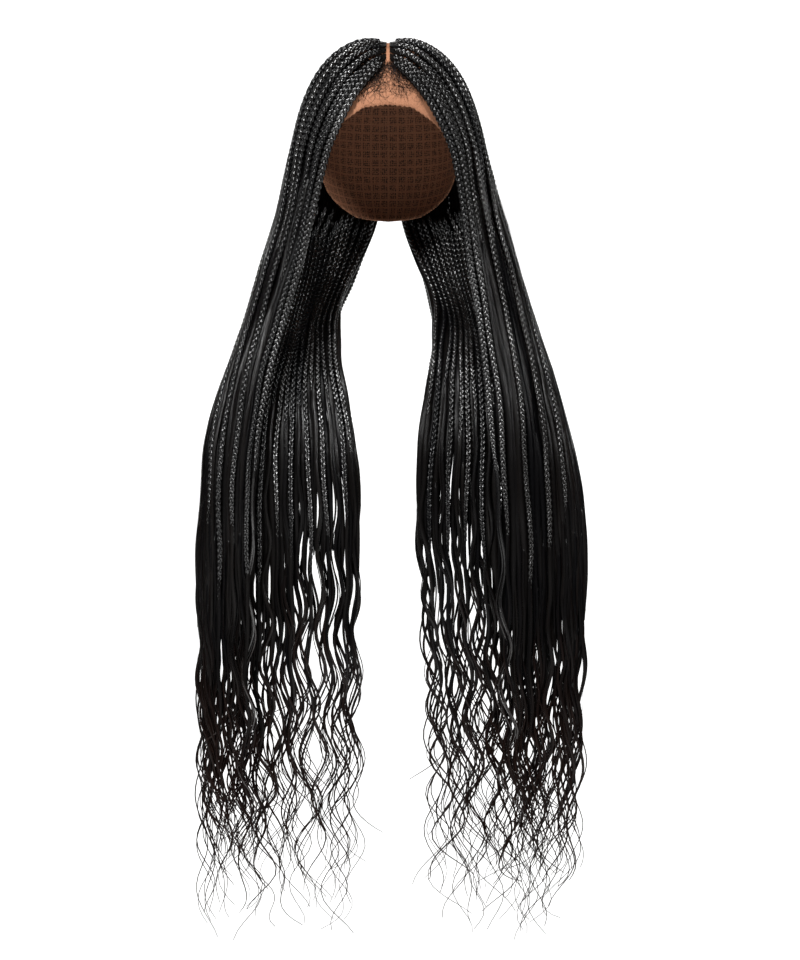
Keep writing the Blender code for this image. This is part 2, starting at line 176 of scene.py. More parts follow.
class Sheet:
    """The middle surface of one fall as a grid: rows run down from the parting, columns across it.

    On the head a row is a great-circle share of the way from the parting to where the hair leaves the head;
    below, it is a parabola through the three places of a level, and levels are joined by a cubic."""

    def __init__(self, fall, side_name):
        self.plan = FALL_PLANS[fall, side_name]
        self.side_name = side_name
        self.side = SIDES[side_name]
        self.across = np.linspace(0.0, 1.0, SHEET_COLUMNS)
        dome, dome_half = self.dome_rows()
        hanging, hanging_half = self.hanging_rows(dome[-1])
        points = np.concatenate([dome, hanging])
        for _ in range(SMOOTHING_PASSES):
            points[1:-1] = (points[:-2] + 2.0 * points[1:-1] + points[2:]) / 4.0
        self.points = points * (self.side, 1.0, 1.0)
        normals = np.cross(np.gradient(self.points, axis=0), np.gradient(self.points, axis=1)) * self.side
        self.normals = unit(normals)
        self.half = np.concatenate([dome_half, hanging_half])
        steps = np.linalg.norm(np.diff(self.points, axis=0), axis=-1).mean(axis=1)
        self.length = np.concatenate([[0.0], np.cumsum(steps)])

    def dome_rows(self):
        across, plan = self.across, self.plan
        lean = np.radians(plan.parting[0] + across * (plan.parting[1] - plan.parting[0]))
        aside = np.full_like(lean, PARTING_HALF_WIDTH / HEAD_HALVES[2])
        root = unit(np.stack([aside, np.sin(lean), np.cos(lean)], axis=-1))
        azimuth = plan.leaving[0] + across * (plan.leaving[1] - plan.leaving[0])
        polar = 90.0 + math.degrees(math.atan2(-LEAVING_HEIGHT - HEAD_HALVES[2], HEAD_HALVES[1]))
        last = direction(azimuth, np.full_like(azimuth, polar))
        offset = np.interp(across, (0.0, 0.5, 1.0), plan.offsets)
        base = LACE + HAIR_CLEARANCE + HAIR_AT_PARTING / 2.0
        share = np.linspace(0.0, 1.0, DOME_ROWS)
        rows = [head_point(slerp(root, last, np.full_like(across, s)), base + (offset - base) * s**2.2) for s in share]
        return np.array(rows), (HAIR_AT_PARTING + (HAIR_LEAVING - HAIR_AT_PARTING) * share) / 2.0

    def hanging_rows(self, first_row):
        share = self.across[:, None]
        rings = [first_row]
        for level in self.plan.levels:
            outwards = getattr(level, self.side_name)
            first, middle, last = (np.array(place, float) for place in zip(outwards, level.y, level.z))
            rings.append(
                first * (1 - share) * (1 - 2 * share)
                + middle * 4 * share * (1 - share)
                + last * share * (2 * share - 1)
            )
        rings = np.array(rings)
        heights = np.arange(LEAVING_HEIGHT - HANGING_ROW_STEP, LOWEST_STATION - 1.0, -HANGING_ROW_STEP)
        wanted = np.interp(-heights, -rings[:, :, 2].mean(axis=1), np.arange(len(rings)))
        thick = np.interp(-heights, (-LEAVING_HEIGHT, 560.0), (HAIR_LEAVING, HAIR_HANGING))
        return smooth_through(rings, wanted), thick / 2.0

    def length_at(self, height):
        """Length down the fall at a mean height."""
        return np.interp(-np.asarray(height, float), -self.points[:, :, 2].mean(axis=1), self.length)

    def half_at(self, length):
        return np.interp(length, self.length, self.half)

    def at(self, across, length, depth):
        """Points and normals at shares across and lengths down, raised by depth: bilinear in the grid, and carried
        on in a straight line beyond its first and last rows and columns."""
        beyond = np.minimum(length, 0.0) / self.length[1]
        past = np.maximum(length - self.length[-1], 0.0) / HANGING_ROW_STEP
        row = np.interp(length, self.length, np.arange(len(self.length))) + beyond + past
        column = across * (len(self.across) - 1.0)
        r = np.clip(np.floor(row).astype(int), 0, len(self.length) - 2)
        c = np.clip(np.floor(column).astype(int), 0, len(self.across) - 2)
        fr, fc = (row - r)[..., None], (column - c)[..., None]

        def blend(grid, fr, fc):
            upper = grid[r, c] * (1 - fc) + grid[r, c + 1] * fc
            lower = grid[r + 1, c] * (1 - fc) + grid[r + 1, c + 1] * fc
            return upper * (1 - fr) + lower * fr

        normals = unit(blend(self.normals, np.clip(fr, 0, 1), np.clip(fc, 0, 1)))
        return blend(self.points, fr, fc) + normals * np.asarray(depth)[..., None], normals

    def width_at(self, length):
        """Width of the fall at a length."""
        widths = np.linalg.norm(np.diff(self.points, axis=1), axis=-1).sum(axis=1)
        return np.interp(length, self.length, widths)


def evenly(points, normals, count):
    """Each path again at count places spaced evenly along its own length, with that length in millimetres."""
    steps = np.linalg.norm(np.diff(points, axis=1), axis=-1)
    travelled = np.concatenate([np.zeros((len(points), 1)), np.cumsum(steps, axis=1)], axis=1)
    even = np.linspace(0.0, 1.0, count)
    out_points, out_normals = [], []
    for path, normal, distance in zip(points, normals, travelled):
        at = even * distance[-1]
        out_points.append(np.stack([np.interp(at, distance, path[:, k]) for k in range(3)], axis=-1))
        out_normals.append(np.stack([np.interp(at, distance, normal[:, k]) for k in range(3)], axis=-1))
    return np.array(out_points), unit(np.array(out_normals)), travelled[:, -1:] * even


def axes(points, normals):
    """Sideways and outward unit vectors along paths, square to their direction."""
    tangents = unit(np.gradient(points, axis=-2))
    sideways = unit(np.cross(normals, tangents))
    return sideways, np.cross(tangents, sideways)


def wander(rng, along, reach, wave):
    """Slow drift of a path from side to side: two sines of about this wavelength with random phases."""
    count = len(along)
    drift = np.zeros_like(along)
    for part, weight in ((1.0, 0.65), (0.53, 0.35)):
        length = wave * part * rng.uniform(0.8, 1.25, (count, 1))
        drift = drift + weight * np.sin(TWO_PI * along / length + rng.uniform(0, TWO_PI, (count, 1)))
    return reach * drift


# The pattern on a tube is moved aside by its tone times these, in millimetres, so that no two tubes look alike
PATTERN_SHIFTS = (731.0, 173.0)


class Bundle:
    """Many closed tubes in one mesh. Each ring is an ellipse set square to its path: centre + sideways * cos * half
    width + outward * sin * half thickness. It carries four attributes: along, from root 0 to tip 1; tone, a random
    number for each tube; crest, 1 where the tube lies out on a face of its plait and 0 where it dives through it;
    and fibre, the place on the tube in millimetres, for patterns that follow the hair."""

    def __init__(self):
        self.vertices, self.quads, self.caps = [], [], []
        self.attributes = {"along": [], "tone": [], "crest": [], "fibre": []}
        self.count = 0

    def add(self, centres, sideways, outward, half_width, half_depth, sides, along, tone, travelled, crest=1.0):
        tubes, rings = centres.shape[:2]
        shape = (tubes, rings, sides)
        half_width, half_depth, along, crest = (
            np.broadcast_to(values, (tubes, rings))[..., None] for values in (half_width, half_depth, along, crest)
        )
        angle = TWO_PI * (np.arange(sides) + 0.5) / sides
        wide, deep = half_width * np.cos(angle), half_depth * np.sin(angle)
        ring = centres[:, :, None] + sideways[:, :, None] * wide[..., None] + outward[:, :, None] * deep[..., None]
        self.vertices.append(ring.reshape(-1, 3))
        number = self.count + np.arange(tubes * rings * sides).reshape(shape)
        following = np.roll(number, -1, axis=2)
        quads = np.stack([number[:, :-1], following[:, :-1], following[:, 1:], number[:, 1:]], axis=-1)
        self.quads.append(quads.reshape(-1, 4))
        self.caps += [number[:, 0, ::-1], number[:, -1]]
        tone = np.asarray(tone, float)[:, None, None]
        for label, values in (("along", along), ("tone", tone), ("crest", crest)):
            self.attributes[label].append(np.broadcast_to(values, shape).ravel())
        place = np.broadcast_arrays(
            wide + tone * PATTERN_SHIFTS[0], deep + tone * PATTERN_SHIFTS[1], travelled[..., None]
        )
        self.attributes["fibre"].append(np.stack(place, axis=-1).reshape(-1, 3))
        self.count += tubes * rings * sides

    def build(self, name, surface, *nodes):
        quads = np.concatenate(self.quads)
        loops = [quads.ravel()] + [cap.ravel() for cap in self.caps]
        counts = [np.full(len(quads), 4)] + [np.full(len(cap), cap.shape[1]) for cap in self.caps]
        mesh = mesh_of(name, np.concatenate(self.vertices), np.concatenate(loops), np.concatenate(counts))
        for label, parts in self.attributes.items():
            values = np.concatenate(parts)
            kind, field = ("FLOAT_VECTOR", "vector") if values.ndim == 2 else ("FLOAT", "value")
            layer = mesh.attributes.new(label, kind, "POINT")
            layer.data.foreach_set(field, values.ravel().astype(np.float32))
        place_piece(name, mesh, surface, "hair", *nodes)


def mesh_of(name, vertices, loops, sizes):
    """A mesh from an array of vertices in millimetres, the corners of its faces, and each face's corner count."""
    mesh = bpy.data.meshes.new(name)
    mesh.vertices.add(len(vertices))
    mesh.vertices.foreach_set("co", (vertices * MM).ravel().astype(np.float32))
    mesh.loops.add(len(loops))
    mesh.loops.foreach_set("vertex_index", loops.astype(np.int32))
    mesh.polygons.add(len(sizes))
    starts = np.concatenate([[0], np.cumsum(sizes)[:-1]])
    mesh.polygons.foreach_set("loop_start", starts.astype(np.int32))
    mesh.update(calc_edges=True)
    mesh.shade_smooth()
    return mesh


def place_piece(name, mesh, surface, material_slot, *nodes):
    mesh.materials.append(surface)
    piece = bpy.data.objects.new(name, mesh)
    bpy.context.scene.collection.objects.link(piece)
    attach(piece, "root")
    if nodes:
        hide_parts(*nodes)


def node(tree, kind, links=(), **settings):
    """Adds a node. A setting named in_3 or in_Name sets that input; links are (input, output socket) pairs."""
    made = tree.nodes.new(kind)
    for key, value in settings.items():
        if key.startswith("in_"):
            name = key[3:].replace("_", " ")
            made.inputs[int(name) if name.isdigit() else name].default_value = value
        else:
            setattr(made, key, value)
    for target, source in links:
        tree.links.new(source, made.inputs[target])
    return made


def new_material(name):
    made = bpy.data.materials.new(name)
    made.use_nodes = True
    made.node_tree.nodes.clear()
    return made, made.node_tree


def remap(tree, value, from_min, from_max, to_min=0.0, to_max=1.0):
    """The value with one range turned into another, held at both ends."""
    ends = {"in_From_Min": from_min, "in_From_Max": from_max, "in_To_Min": to_min, "in_To_Max": to_max}
    return node(tree, "ShaderNodeMapRange", [("Value", value)], **ends).outputs[0]


def product(tree, first, second):
    return node(tree, "ShaderNodeMath", [(0, first), (1, second)], operation="MULTIPLY").outputs[0]


def mixed(tree, share, first, second):
    """Two colours mixed by a socket's share; the first may be a socket too."""
    made = node(tree, "ShaderNodeMix", [(0, share)], data_type="RGBA", in_7=second)
    if isinstance(first, bpy.types.NodeSocket):
        tree.links.new(first, made.inputs[6])
    else:
        made.inputs[6].default_value = first
    return made.outputs[2]


# Length of the streaks along a hair, and the scale of the painted sheen's patches
STREAK_LENGTH = 60.0
PAINTED_SHEEN_SCALE = 16.0


def fibre_material(name, roughness, specular, streak_mm, streak_depth_mm):
    """Black kanekalon, a modacrylic braiding fibre: fine parallel filaments that give a satin streak along the hair,
    near-black with a slightly warm tone from tress to tress, and brown where the ends thin out."""
    made, tree = new_material(name)
    fibre, tone, along, crest = (
        node(tree, "ShaderNodeAttribute", attribute_name=label) for label in ("fibre", "tone", "along", "crest")
    )
    # Filaments are 0.07 mm thick; the streaks are drawn as coarse as groups of filaments show
    scale = (1.0 / streak_mm, 1.0 / streak_mm, 1.0 / STREAK_LENGTH)
    place = [(0, fibre.outputs["Vector"])]
    stretched = node(tree, "ShaderNodeVectorMath", place, operation="MULTIPLY", in_1=scale)
    streaks = node(tree, "ShaderNodeTexNoise", [("Vector", stretched.outputs[0])], in_Scale=1.0, in_Detail=3.0)
    height = [("Height", streaks.outputs["Fac"])]
    bump = node(tree, "ShaderNodeBump", height, in_Strength=0.9, in_Distance=streak_depth_mm * MM)
    warm = mixed(tree, tone.outputs["Fac"], colours().hair, colours().warm_hair)
    browned = mixed(tree, remap(tree, along.outputs["Fac"], 0.6, 1.0), warm, colours().hair_tips)
    # Painted sheen: the specular level comes and goes over patches about 60 mm wide and 200 mm tall, standing in for
    # light that falls unevenly on the hair; it also differs at random from tress to tress
    place = node(tree, "ShaderNodeTexCoord")
    tall = node(tree, "ShaderNodeMapping", [("Vector", place.outputs["Object"])], in_Scale=(1.0, 1.0, 0.3))
    patches = node(tree, "ShaderNodeTexNoise", [("Vector", tall.outputs[0])], in_Scale=PAINTED_SHEEN_SCALE, in_Detail=1.0)
    sheen = remap(tree, patches.outputs["Fac"], 0.38, 0.62, 0.5 * specular, 1.35 * specular)
    gloss = product(tree, sheen, remap(tree, tone.outputs["Fac"], 0.0, 1.0, 0.55, 1.35))
    # Painted shade: the gloss is turned down where a strand dives under the others of its plait, so each crossing
    # glints like a bead
    gloss = product(tree, gloss, remap(tree, crest.outputs["Fac"], 0.3, 0.95, 0.1, 1.0))
    shader = node(
        tree,
        "ShaderNodeBsdfPrincipled",
        [("Base Color", browned), ("Normal", bump.outputs["Normal"]), ("Specular IOR Level", gloss)],
        in_Roughness=roughness,
        in_Metallic=0.0,
        in_IOR=1.5,
    )
    node(tree, "ShaderNodeOutputMaterial", [("Surface", shader.outputs[0])])
    return made


# The net's holes are 0.7 mm across, drawn at 1.4 mm so that they show. Its knots are 1.9 mm apart, and the partings
# between boxes of knots are bare lace lines 9 mm apart. The UV map is in millimetres
HOLE_SIZE = 1.4
KNOT_PITCH = 1.9
BOX_PITCH = 9.0


def lace_material(name, knots):
    """Swiss lace, a fine warp-knitted nylon net tinted to skin: hexagon-like holes between twisted threads, matt,
    with the black knots where hairs are tied in."""
    made, tree = new_material(name)
    uv = node(tree, "ShaderNodeUVMap", uv_map="net")
    flat = [("Vector", uv.outputs[0])]
    holes = node(tree, "ShaderNodeTexVoronoi", flat, in_Scale=1.0 / HOLE_SIZE, in_Randomness=0.25)
    net = remap(tree, holes.outputs["Distance"], 0.25, 0.55)
    colour = mixed(tree, net, colours().lace, colours().lace_thread)
    if knots:
        dots = node(tree, "ShaderNodeTexVoronoi", flat, in_Scale=1.0 / KNOT_PITCH, in_Randomness=0.35)
        where = remap(tree, dots.outputs["Distance"], 0.3, 0.5, 1.0, 0.0)
        across = node(tree, "ShaderNodeSeparateXYZ", [(0, uv.outputs[0])])
        for axis in (0, 1):
            place = [(0, across.outputs[axis])]
            cell = node(tree, "ShaderNodeMath", place, operation="PINGPONG", in_1=BOX_PITCH / 2.0)
            where = product(tree, where, remap(tree, cell.outputs[0], 0.7, 1.1))
        colour = mixed(tree, where, colour, colours().knots)
    bump = node(tree, "ShaderNodeBump", [("Height", net)], in_Strength=0.5, in_Distance=0.25 * MM)
    shader = node(
        tree,
        "ShaderNodeBsdfPrincipled",
        [("Base Color", colour), ("Normal", bump.outputs["Normal"])],
        in_Roughness=0.8,
        in_Metallic=0.0,
        in_Specular_IOR_Level=0.2,
    )
    node(tree, "ShaderNodeOutputMaterial", [("Surface", shader.outputs[0])])
    return made


def plait_surface():
    name = "plaited_kanekalon"
    return bpy.data.materials.get(name) or fibre_material(name, 0.27, 1.1, 0.45, 0.06)


def loose_surface():
    name = "combed_kanekalon"
    return bpy.data.materials.get(name) or fibre_material(name, 0.3, 0.17, 0.5, 0.35)


class WigSizes(bpy.types.PropertyGroup):
    plait_turn: bpy.props.FloatProperty(
        name="Plait turn", description="Length in which a strand crosses over and back", default=0.0186, unit="LENGTH"
    )
    front_plaits: bpy.props.IntProperty(name="Front plaits", description="Plaits in each front fall", default=16, min=4)
    back_plaits: bpy.props.IntProperty(name="Back plaits", description="Plaits in each back fall", default=17, min=4)
    nape_plaits: bpy.props.IntProperty(
        name="Nape plaits", description="Plaits under each back fall, from the nape down", default=16, min=2
    )
    wave_length: bpy.props.FloatProperty(
        name="Wave length", description="Length of one wave in the loose ends", default=0.09, unit="LENGTH"
    )
    wave_swing: bpy.props.FloatProperty(
        name="Wave swing", description="How far the loose ends swing to each side", default=0.0085, unit="LENGTH"
    )


def colour_property(name, description, hex_colour):
    return bpy.props.FloatVectorProperty(
        name=name, description=description, size=4, subtype="COLOR", default=linear(hex_colour)
    )


class WigColours(bpy.types.PropertyGroup):
    hair: colour_property("Hair", "Darkest tresses", "#050506")
    warm_hair: colour_property("Warm hair", "Warmest tresses", "#0b0908")
    hair_tips: colour_property("Hair tips", "Hair where it thins out", "#1d120e")
    lace: colour_property("Lace", "Holes of the net, tinted to skin", "#7d523b")
    lace_thread: colour_property("Lace thread", "Threads of the net", "#966a50")
    knots: colour_property("Knots", "Knots of hair in the net", "#110c0a")
    paper: colour_property("Paper", "Studio floor and backdrop", "#fbfbfa")


def sizes():
    return bpy.context.scene.wig_sizes


def colours():
    return bpy.context.scene.wig_colours


# Plaits of like length are made together, so that short ones don't carry the longest one's rings
PLAIT_GROUPS = 4
# A strand's half thickness and how far it dips, as shares of the plait's width, and the sides of its ring
STRAND_HALF = 0.228
STRAND_DIP = 0.21
PLAIT_SIDES = 5
# Lengths over which a plait slims down at its root and its end, and comes up from the lace
ROOT_TAPER = 14.0
END_TAPER = 46.0
ROOT_RISE = 25.0
# Width of a plait at these lengths down from the parting
PLAIT_WIDTH_AT = ((0.0, 8.4), (20.0, 9.2), (70.0, 8.7), (170.0, 7.3), (400.0, 6.5), (700.0, 6.0))


def plait_width(length):
    return np.interp(length, *zip(*PLAIT_WIDTH_AT))


def smoothstep(share):
    """0 to 1 with a gentle start and end: 3 shares squared less 2 shares cubed."""
    share = np.clip(share, 0.0, 1.0)
    return share * share * (3.0 - 2.0 * share)


def plait_strands(bundle, points, normals, travelled, width, rng):
    """Three strands that weave a flat plait: sideways goes as the sine of the turn angle and in and out as the sine
    of twice it, each strand a third of a turn behind the last. Both swings and the strand's own thickness shrink at
    the root and the end."""
    sideways, outward = axes(points, normals)
    total = travelled[:, -1:]
    swell = np.clip(travelled / ROOT_TAPER, 0.0, 1.0) ** 0.7 * 0.5 + 0.5
    swell = swell * (0.5 + 0.5 * np.clip((total - travelled) / END_TAPER, 0.0, 1.0))
    strand = width * STRAND_HALF * swell
    swing = width / 2.0 * swell - strand
    dip = width * STRAND_DIP * swell
    turn = sizes().plait_turn / MM * rng.uniform(0.96, 1.06, (len(points), 1))
    first = rng.uniform(0, TWO_PI, (len(points), 1))
    tone = rng.random(len(points))
    reach = 0.35 * travelled / total
    for third in range(3):
        angle = TWO_PI * travelled / turn + first + third * TWO_PI / 3.0
        path = points + sideways * (swing * np.sin(angle))[..., None]
        path = path + outward * (dip * np.sin(2.0 * angle))[..., None]
        # crest carries the painted shade: near 0 where the strand dives through its plait, and the fibre material turns
        # its gloss down there
        crest = np.abs(np.sin(2.0 * angle))
        ring = (*axes(path, outward), strand * 1.04, strand * 0.92)
        bundle.add(path, *ring, PLAIT_SIDES, reach, tone, travelled, crest)


def add_plaits(bundle, sheet, across, start, end, sunk, rng, step, reach=1.4, lower=0.0):
    """Plaits on a sheet from start to end lengths. Each lies against the lace at its root and comes up within 25 mm
    to the outside of the fall, less its own lowering while on the head; it sinks by its own depth where the fall
    leaves the head. Returns their depth and drift at the end."""
    length = start[:, None] + (end - start)[:, None] * np.linspace(0.0, 1.0, 420)
    width = plait_width(length)
    half = sheet.half_at(length)
    top = np.maximum(half - width * 0.36, 0.0) + 0.6
    low = np.minimum(-half + width * 0.3, 0.0)
    fade = smoothstep((length - start[:, None]) / ROOT_RISE)
    hang = smoothstep((length - 110.0) / 90.0)
    sunk, lower = np.reshape(sunk, (-1, 1)), np.reshape(lower, (-1, 1))
    depth = low + (top - low) * fade - sunk * hang - lower * fade * (1.0 - hang)
    points, normals = sheet.at(across[:, None], length, depth)
    sideways, outward = axes(points, normals)
    ease = np.clip((length - start[:, None] - 60.0) / 120.0, 0.0, 1.0)
    drift = wander(rng, length, reach, 210.0)
    points = points + sideways * (drift * ease)[..., None]
    points = points + outward * (wander(rng, length, 0.6, 160.0) * ease)[..., None]
    for group in np.array_split(np.argsort(end - start), PLAIT_GROUPS):
        count = int((end - start)[group].max() / step)
        even_points, even_normals, travelled = evenly(points[group], normals[group], count)
        even_width = plait_width(start[group][:, None] + travelled) * rng.uniform(0.94, 1.05, (len(group), 1))
        plait_strands(bundle, even_points, even_normals, travelled, even_width, rng)
    return depth[:, -1], (drift * ease)[:, -1]


# Length between a lock's rings, the sides of a ring, and the share of its width left at its point
LOCK_STEP = 9.0
LOCK_SIDES = 6
LOCK_POINT = 0.16


def add_locks(bundle, sheet, across, start, end, depth, half_width, rng, rise=0.0):
    """Flat locks of combed hair: full over most of their length, drawn in to a point over their last 130 mm."""
    start, end, depth, half_width = (
        np.broadcast_to(values, len(across))[:, None] for values in (start, end, depth, half_width)
    )
    share = np.linspace(0.0, 1.0, int((end - start).max() / LOCK_STEP))
    length = start + (end - start) * share
    opening = np.clip((length - start) / 45.0, 0.0, 1.0)
    points, normals = sheet.at(across[:, None], length, depth - rise * (1.0 - opening))
    sideways, outward = axes(points, normals)
    points = points + sideways * (wander(rng, length, 2.0, 230.0) * opening)[..., None]
    points = points + outward * (wander(rng, length, 0.6, 170.0) * opening)[..., None]
    sideways, outward = axes(points, normals)
    closing = np.clip((end - length) / 130.0, 0.0, 1.0) ** 0.8
    body = (LOCK_POINT + (1.0 - LOCK_POINT) * closing) * (0.3 + 0.7 * opening**0.6)
    wide = half_width * body * (1.0 + 0.14 * wander(rng, length, 1.0, 90.0))
    tone = rng.random(len(across))
    bundle.add(points, sideways, outward, wide, 0.4 + 1.3 * body, LOCK_SIDES, share * 0.45, tone, length)


# Half thickness of a loose strand where it starts, and the heights between which its tip hangs
Strand = namedtuple("Strand", "half tips")
# Waves are in step with their neighbours about this far down a fall, and less and less so below
WAVES_FROM = 560.0
# Strands further out than this from the middle curl inwards
OUTERMOST = 165.0
END_RINGS = 60
TIP_HALF = 0.3


def add_waved_ends(bundle, sheet, across, top, depth, plan, rng, aside=0.0):
    """Loose strands below each plait or lock, one for each row of the plan. Sideways they swing as a sine that grows
    over 375 mm, in depth a quarter turn later, on a wave that a lock's strands nearly share. They part in proportion
    to the distance, and near the tip the heading turns, so that some curl; the outermost curl inwards."""
    locks = len(across)
    share = np.linspace(0.0, 1.0, END_RINGS)
    wave = sizes().wave_length / MM * rng.uniform(0.9, 1.14, (locks, 1))
    reach = sizes().wave_swing / MM * rng.uniform(0.7, 1.2, (locks, 1))
    phase = TWO_PI * 0.9 * across[:, None] + rng.normal(0.0, 0.65, (locks, 1))
    bias = rng.uniform(-1.0, 1.0, (locks, 1))
    for strand in plan:
        tip = sheet.length_at(rng.uniform(*strand.tips, locks))
        begin = top - rng.uniform(16.0, 30.0, locks)
        length = begin[:, None] + (tip - begin)[:, None] * share
        level = np.broadcast_to(depth, locks)[:, None] * (1.0 - 0.6 * share)
        level = level + rng.uniform(-0.8, 0.8, (locks, 1))
        gone = np.maximum(length - top[:, None] + 10.0, 0.0)
        drawn_in = (0.5 - across[:, None]) * 0.12 * np.clip(gone / 400.0, 0.0, 1.0)
        points, normals = sheet.at(across[:, None] + drawn_in, length, level)
        sideways, outward = axes(points, normals)
        down = unit(np.gradient(points, axis=1))
        own_phase = phase + rng.normal(0.0, 0.22, (locks, 1))
        turn = TWO_PI * (length - WAVES_FROM) / (wave * rng.uniform(0.98, 1.02, (locks, 1))) + own_phase
        grown = reach * np.clip(gone / 300.0, 0.0, 1.25) ** 1.15 * rng.uniform(0.85, 1.15, (locks, 1))
        apart = (0.012 * bias + 0.016 * rng.uniform(-1.0, 1.0, (locks, 1))) * gone
        side_move = grown * np.sin(turn) + apart + rng.uniform(-0.9, 0.9, (locks, 1))
        side_move = side_move + np.asarray(aside).reshape(-1, 1)
        deep_move = 0.55 * grown * np.cos(turn) + 0.4 * apart * rng.uniform(-1.0, 1.0, (locks, 1))
        curl_over = rng.uniform(35.0, 75.0, (locks, 1))
        turn_to = np.radians(np.clip(rng.normal(0.0, 30.0, (locks, 1)), -75.0, 75.0))
        outermost = np.abs(points[:, -1:, 0]) > OUTERMOST
        outwards = np.sign(sideways[:, -1:, 0] * points[:, -1:, 0])
        turn_to = np.where(outermost, -outwards * np.abs(turn_to), turn_to)
        curl = turn_to * np.clip(1.0 - (length[:, -1:] - length) / curl_over, 0.0, 1.0)
        step = np.gradient(length, axis=1)
        side_move = side_move + np.cumsum(np.sin(curl) * step, axis=1)
        down_move = np.cumsum((np.cos(curl) - 1.0) * step, axis=1)
        points = points + sideways * side_move[..., None] + outward * deep_move[..., None] + down * down_move[..., None]
        sideways, outward = axes(points, outward)
        thinness = np.clip((1.0 - share) / 0.9, 0.0, 1.0) ** 0.7
        half = (TIP_HALF + (strand.half - TIP_HALF) * thinness) * rng.uniform(0.8, 1.2, (locks, 1))
        half = half * np.clip(share / 0.04 + 0.35, 0.0, 1.0)
        sides, tone = 4 if strand.half > 1.0 else 3, rng.random(locks)
        bundle.add(points, sideways, outward, half * 1.2, half * 0.85, sides, 0.35 + 0.65 * share, tone, length)


def spread(rng, count, jitter, first=0.0, last=1.0):
    """Shares across a fall, evenly placed with a little jitter."""
    return first + (last - first) * (np.arange(count) + 0.5 + rng.uniform(-jitter, jitter, count)) / count


ROPE_ENDS = (Strand(2.3, (-915.0, -790.0)), Strand(1.3, (-890.0, -710.0)), Strand(0.6, (-940.0, -840.0)))
LOCK_ENDS = (Strand(2.3, (-880.0, -720.0)), Strand(1.0, (-940.0, -800.0)))
TOP_PLAIT_EVERY = 4
# Lengths at which every other plait and those between start, and at which locks deep in a fall start
NEAR_ROOT, FAR_ROOT, UNDER_ROOT = 7.0, 48.0, 30.0
FRONT_UNDER_LOCKS = 13
FRONT_COMBED_LOCKS = 9
BACK_UNDER_LOCKS = 17
SEEDS = {"front": {"left": 11, "right": 12}, "back": {"left": 21, "right": 22}, "face": {"left": 31, "right": 32}}


def add_ended_locks(locks, loose, sheet, across, start, end, level, half_width, rng, rise=0.0):
    """Locks with loose ends, which leave them 90 mm above where they stop."""
    add_locks(locks, sheet, across, start, end, level, half_width, rng, rise)
    add_waved_ends(loose, sheet, across, end - 90.0, level, LOCK_ENDS, rng)


class WIG_OT_front_falls(bpy.types.Operator):
    """Plaits, smooth locks and waved ends that hang from the parting over the side of the head"""

    bl_idname = "wig.front_falls"
    bl_label = "Front falls"

    def execute(self, context):
        for side_name in SIDES:
            node_name = "front_fall_" + side_name
            rng = np.random.default_rng(SEEDS["front"][side_name])
            sheet = Sheet("front", side_name)
            count = sizes().front_plaits
            across = spread(rng, count, 0.1, 0.01)
            # Every few plaits one stays on top of the fall; of the rest, half pass under the combed hair at the ear
            # and half below the chin
            top = np.arange(count) % TOP_PLAIT_EVERY == 0
            low = ~top & (np.arange(count) % 2 == 0)
            start = np.where(np.arange(count) % 2 == 0, NEAR_ROOT, FAR_ROOT) + rng.uniform(-1.5, 1.5, count)
            long_end = rng.uniform(-590.0, -500.0, count)
            chin_end = rng.uniform(-300.0, -210.0, count)
            ear_end = rng.uniform(-170.0, -130.0, count)
            height = np.where(top, long_end, np.where(low, chin_end, ear_end))
            end = sheet.length_at(height)
            sunk = np.where(top, 0.0, np.where(low, 2.6, 4.0))
            lower = np.where(np.arange(count) % 2 == 0, 0.0, 2.6)
            plaits = Bundle()
            depth, aside = add_plaits(plaits, sheet, across, start, end, sunk, rng, 2.2, lower=lower)
            plaits.build("front_plaits_" + side_name, plait_surface(), node_name)

            locks, loose = Bundle(), Bundle()
            add_waved_ends(loose, sheet, across[top], end[top], depth[top], ROPE_ENDS, rng, aside[top])
            under = spread(rng, FRONT_UNDER_LOCKS, 0.2)
            under_end = sheet.length_at(rng.uniform(-670.0, -610.0, FRONT_UNDER_LOCKS))
            add_ended_locks(locks, loose, sheet, under, UNDER_ROOT, under_end, -3.0, 6.4, rng)
            between = across[~top]
            count = len(between)
            begin = rng.uniform(135.0, 190.0, count)
            lock_end = sheet.length_at(rng.uniform(-660.0, -590.0, count))
            level = 1.8 + rng.uniform(-0.8, 0.8, count)
            half_width = rng.uniform(3.4, 4.8, count)
            add_ended_locks(locks, loose, sheet, between, begin, lock_end, level, half_width, rng, 6.0)
            combed = spread(rng, FRONT_COMBED_LOCKS, 0.2, 0.7, 1.05)
            begin = rng.uniform(90.0, 140.0, FRONT_COMBED_LOCKS)
            lock_end = sheet.length_at(rng.uniform(-650.0, -590.0, FRONT_COMBED_LOCKS))
            add_ended_locks(locks, loose, sheet, combed, begin, lock_end, 4.8, 4.2, rng, 7.0)
            locks.build("front_locks_" + side_name, loose_surface(), node_name)
            loose.build("front_ends_" + side_name, loose_surface(), node_name)
        return {"FINISHED"}


